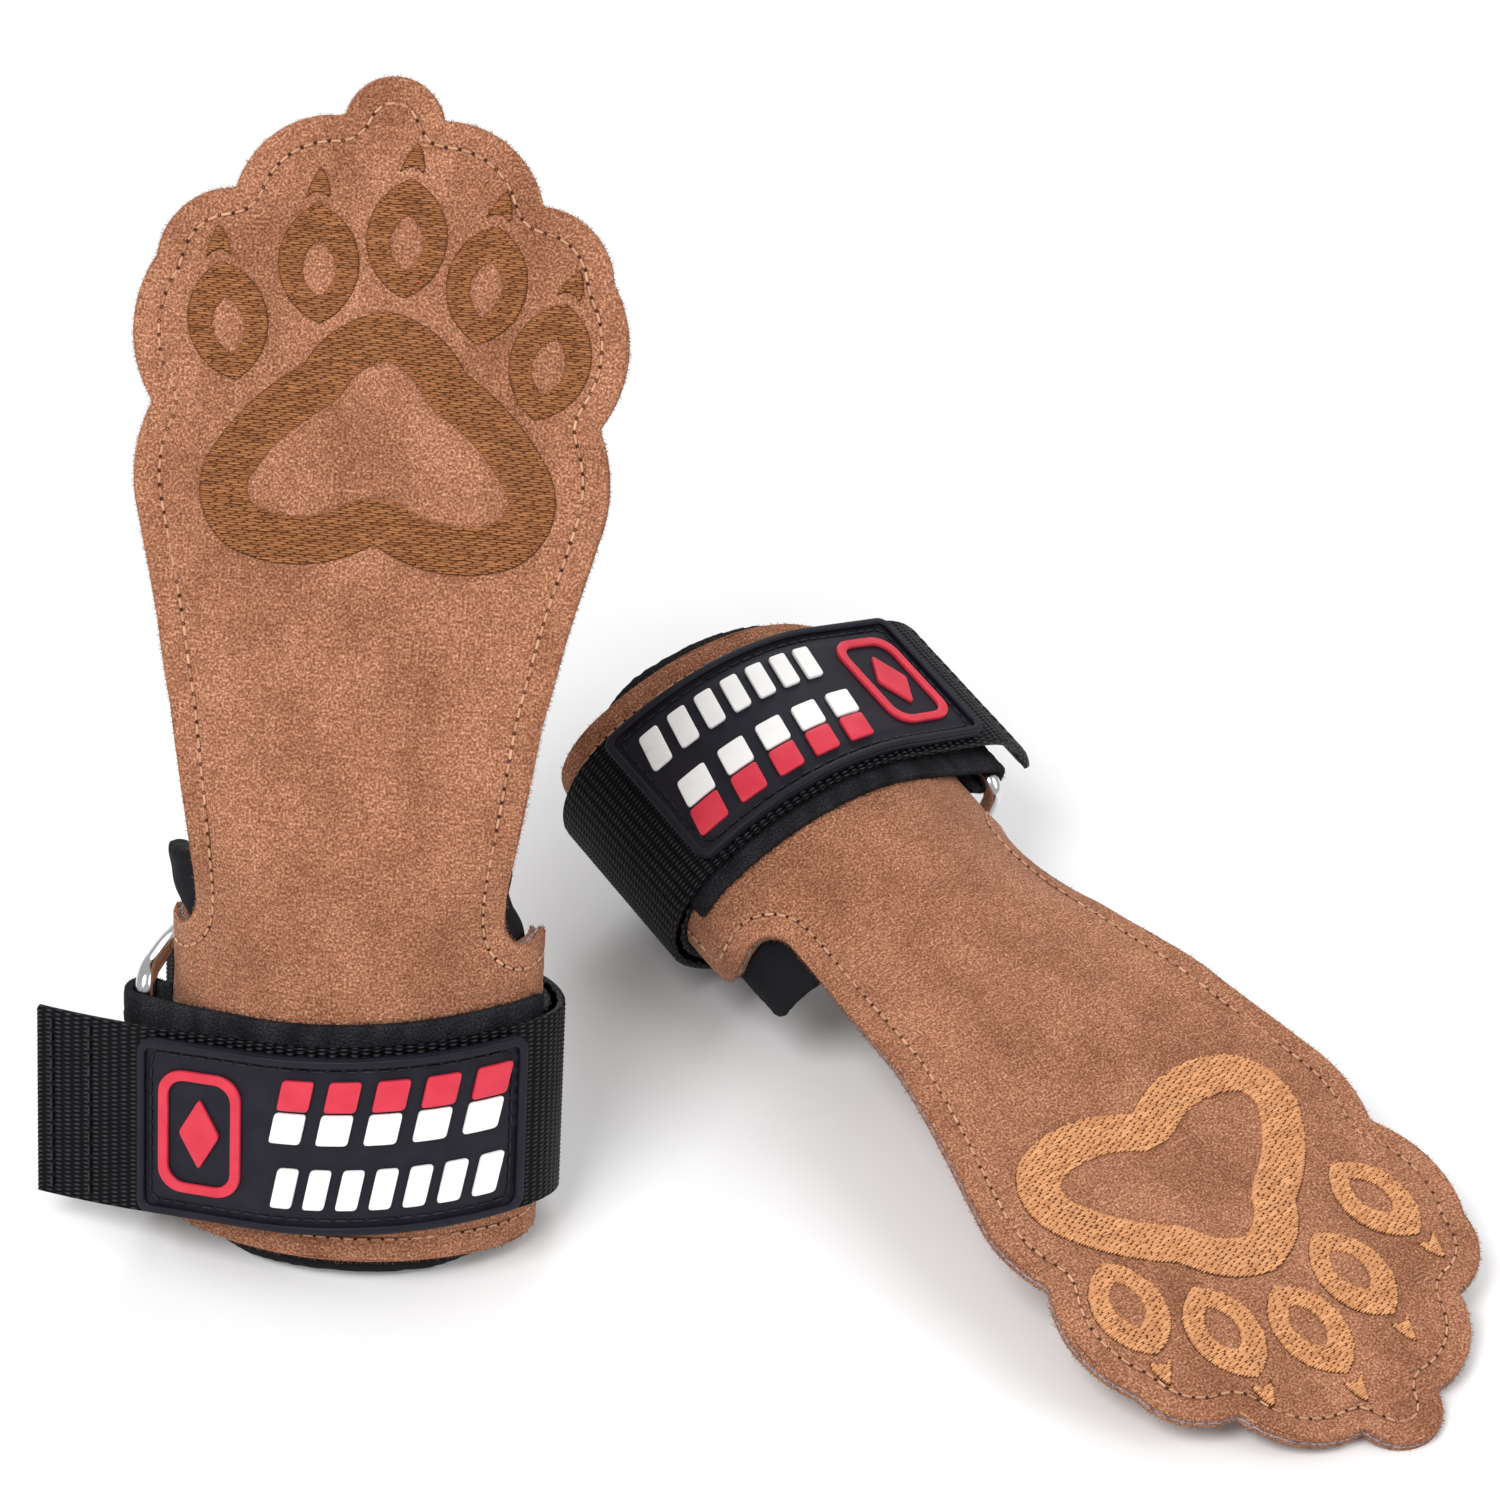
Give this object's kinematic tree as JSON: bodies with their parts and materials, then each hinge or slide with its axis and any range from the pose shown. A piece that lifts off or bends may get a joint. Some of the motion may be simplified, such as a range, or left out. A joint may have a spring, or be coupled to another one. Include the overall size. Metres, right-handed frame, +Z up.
{
  "type": "gymnastics hand grips",
  "caption": "Pair of leather palm grips with scalloped paw-shaped palms, padded wrist cuffs, metal rings and hook-and-loop straps.",
  "frame": {"origin": "bottom centre of the bounding box of the pair, on the ground both grips rest on", "axes": "+Z up; +X to the right and +Y away, seen from the side the standing grip faces; the standing grip's outer face looks towards -Y"},
  "size_m": [0.286, 0.2204, 0.2123],
  "materials": {
    "suede_face": "napped suede, tan brown",
    "suede_back": "napped suede, tan brown",
    "interlining": "dark reinforcing cloth",
    "seam_thread": "polyester thread, golden tan",
    "embroidery_thread": "glossy thread, orange brown",
    "pad_foam": "neoprene with a knit face, black",
    "pad_lining": "soft knit lining, black",
    "loop_fabric": "brushed loop pile, black",
    "webbing": "woven webbing, black",
    "hook_tape": "moulded hooks, black",
    "ring_chrome": "plated wire",
    "patch_black": "soft moulded patch, matt black",
    "patch_thread": "thread, black",
    "patch_red": "soft moulded, matt red",
    "patch_white": "soft moulded, matt white"
  },
  "bodies": {
    "standing_fingers": {"claw_embroidery_a": "embroidery_thread", "finger_back_leather_a": "suede_back", "finger_face_leather_a": "suede_face", "finger_interlining_a": "interlining", "finger_seam_a": "seam_thread", "paw_embroidery_a": "embroidery_thread", "toe_embroidery_a": "embroidery_thread"},
    "standing_tail": {"hook_tape_a": "hook_tape", "patch_base_a": "patch_black", "patch_emblem_a": "patch_red", "patch_red_marks_a": "patch_red", "patch_rim_a": "patch_black", "patch_seam_a": "patch_thread", "patch_white_marks_a": "patch_white", "strap_tail_a": "webbing"},
    "standing_cuff": {"loop_band_a": "loop_fabric", "pad_lining_a": "pad_lining", "strap_webbing_a": "webbing", "wrist_back_leather_a": "suede_back", "wrist_face_leather_a": "suede_face", "wrist_interlining_a": "interlining", "wrist_pad_a": "pad_foam", "wrist_seam_a": "seam_thread"},
    "standing_palm": {"palm_back_leather_a": "suede_back", "palm_face_leather_a": "suede_face", "palm_interlining_a": "interlining", "palm_seam_a": "seam_thread"},
    "standing_ring": {"strap_ring_a": "ring_chrome"},
    "lying_fingers": {"claw_embroidery_b": "embroidery_thread", "finger_back_leather_b": "suede_back", "finger_face_leather_b": "suede_face", "finger_interlining_b": "interlining", "finger_seam_b": "seam_thread", "paw_embroidery_b": "embroidery_thread", "toe_embroidery_b": "embroidery_thread"},
    "lying_tail": {"hook_tape_b": "hook_tape", "patch_base_b": "patch_black", "patch_emblem_b": "patch_red", "patch_red_marks_b": "patch_red", "patch_rim_b": "patch_black", "patch_seam_b": "patch_thread", "patch_white_marks_b": "patch_white", "strap_tail_b": "webbing"},
    "lying_cuff": {"loop_band_b": "loop_fabric", "pad_lining_b": "pad_lining", "strap_webbing_b": "webbing", "wrist_back_leather_b": "suede_back", "wrist_face_leather_b": "suede_face", "wrist_interlining_b": "interlining", "wrist_pad_b": "pad_foam", "wrist_seam_b": "seam_thread"},
    "lying_palm": {"palm_back_leather_b": "suede_back", "palm_face_leather_b": "suede_face", "palm_interlining_b": "interlining", "palm_seam_b": "seam_thread"},
    "lying_ring": {"strap_ring_b": "ring_chrome"}
  },
  "joints": [
    {"name": "standing_wrist_flex", "type": "hinge", "parent": "standing_cuff", "child": "standing_palm", "pos_m": [-0.08082, -0.03694, 0.08448], "axis": [0.9914, -0.1305, 0], "range_deg": [-40, 130]},
    {"name": "standing_finger_fold", "type": "hinge", "parent": "standing_palm", "child": "standing_fingers", "pos_m": [-0.07691, -0.0072, 0.12818], "axis": [0.9914, -0.1305, 0], "range_deg": [-20, 100]},
    {"name": "standing_strap_peel", "type": "hinge", "parent": "standing_cuff", "child": "standing_tail", "pos_m": [-0.04226, -0.03995, 0.03025], "axis": [-0.0326, -0.2477, -0.9683], "range_deg": [-100, 0]},
    {"name": "standing_ring_swing", "type": "hinge", "parent": "standing_cuff", "child": "standing_ring", "pos_m": [-0.1214, -0.03103, 0.03063], "axis": [0.0326, 0.2477, 0.9683], "range_deg": [-2.5, 2.5]},
    {"name": "lying_wrist_flex", "type": "hinge", "parent": "lying_cuff", "child": "lying_palm", "pos_m": [0.03997, 0.01537, 0.04113], "axis": [0.8192, 0.5736, 0], "range_deg": [-110, 60]},
    {"name": "lying_finger_fold", "type": "hinge", "parent": "lying_palm", "child": "lying_fingers", "pos_m": [0.06934, -0.02658, 0.02747], "axis": [0.8192, 0.5736, 0], "range_deg": [-100, 20]},
    {"name": "lying_strap_peel", "type": "hinge", "parent": "lying_cuff", "child": "lying_tail", "pos_m": [-0.02278, 0.03765, 0.03951], "axis": [0.5542, -0.7915, -0.2577], "range_deg": [0, 100]},
    {"name": "lying_ring_swing", "type": "hinge", "parent": "lying_cuff", "child": "lying_ring", "pos_m": [0.04267, 0.083, 0.041], "axis": [0.5542, -0.7915, -0.2577], "range_deg": [-2.5, 2.5]},
    {"name": "lying_grip_lift", "type": "slide", "parent": "standing_cuff", "child": "lying_cuff", "axis": [0, 0, 1], "range_m": [0, 0.2]}
  ]
}
